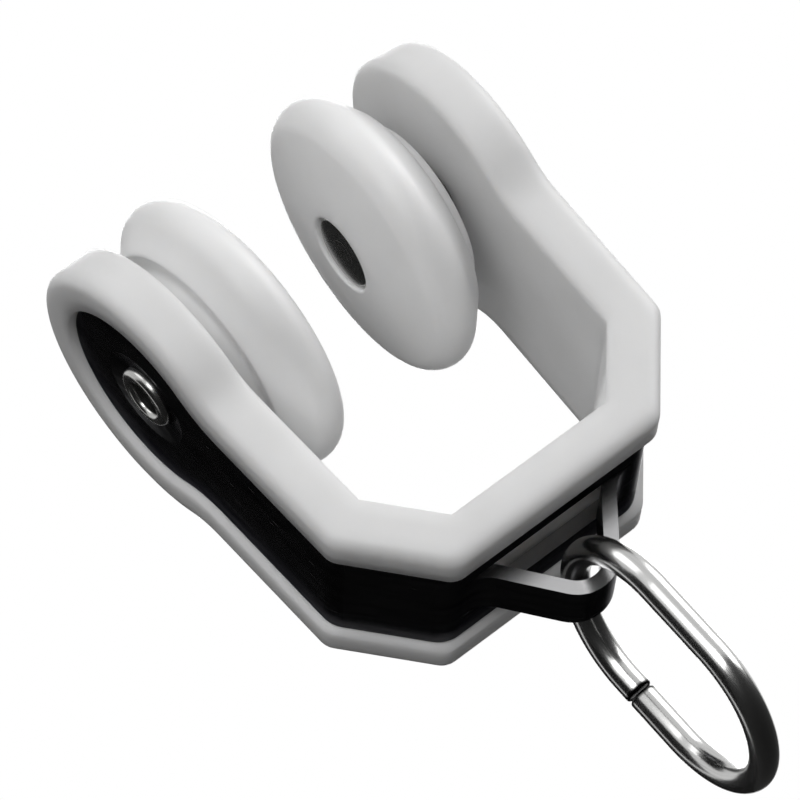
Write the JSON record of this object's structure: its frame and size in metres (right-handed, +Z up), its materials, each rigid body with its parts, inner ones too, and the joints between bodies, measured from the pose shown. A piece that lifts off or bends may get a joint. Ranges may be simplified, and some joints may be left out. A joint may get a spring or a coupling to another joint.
{
  "type": "curtain glider",
  "caption": "U-shaped nylon curtain glider with a wheel inside each arm, a dark steel strap round it and a split ring below, running on the flanges of an I-section curtain track",
  "frame": {"origin": "on the track's centre line, level with the lowest point of the left wheel's rim, where the wheels stand on the track's flanges", "axes": "+X across the track towards the right wheel, +Y along the track, +Z up; the ring hangs along -Z"},
  "size_m": [0.0242, 0.0168, 0.0459],
  "materials": {
    "nylon": "natural white nylon, moulded, soft sheen",
    "wheel_nylon": "natural white nylon, moulded, soft sheen",
    "black_steel": "pressed steel strip, bright black plating",
    "rivet_steel": "nickel plated hollow rivet",
    "ring_steel": "nickel plated bent wire, polished"
  },
  "bodies": {
    "carrier": {"carrier_body": "nylon", "steel_strap": "black_steel", "left_rivet": "rivet_steel", "right_rivet": "rivet_steel"},
    "left_wheel": {"left_wheel": "wheel_nylon"},
    "right_wheel": {"right_wheel": "wheel_nylon"},
    "ring": {"hanging_ring": "ring_steel"}
  },
  "joints": [
    {"name": "left_wheel_spin", "type": "hinge", "parent": "carrier", "child": "left_wheel", "pos_m": [-0.00535, 0, 0.00839], "axis": [0.999, 0, 0.0436], "continuous": true},
    {"name": "right_wheel_spin", "type": "hinge", "parent": "carrier", "child": "right_wheel", "pos_m": [0.00445, 0, 0.00843], "axis": [-0.999, 0, 0.0436], "continuous": true},
    {"name": "ring_swing", "type": "hinge", "parent": "carrier", "child": "ring", "pos_m": [0.0003, 0, -0.01362], "axis": [-0.0698, 0.9976, 0], "range_deg": [-85, 85]}
  ]
}
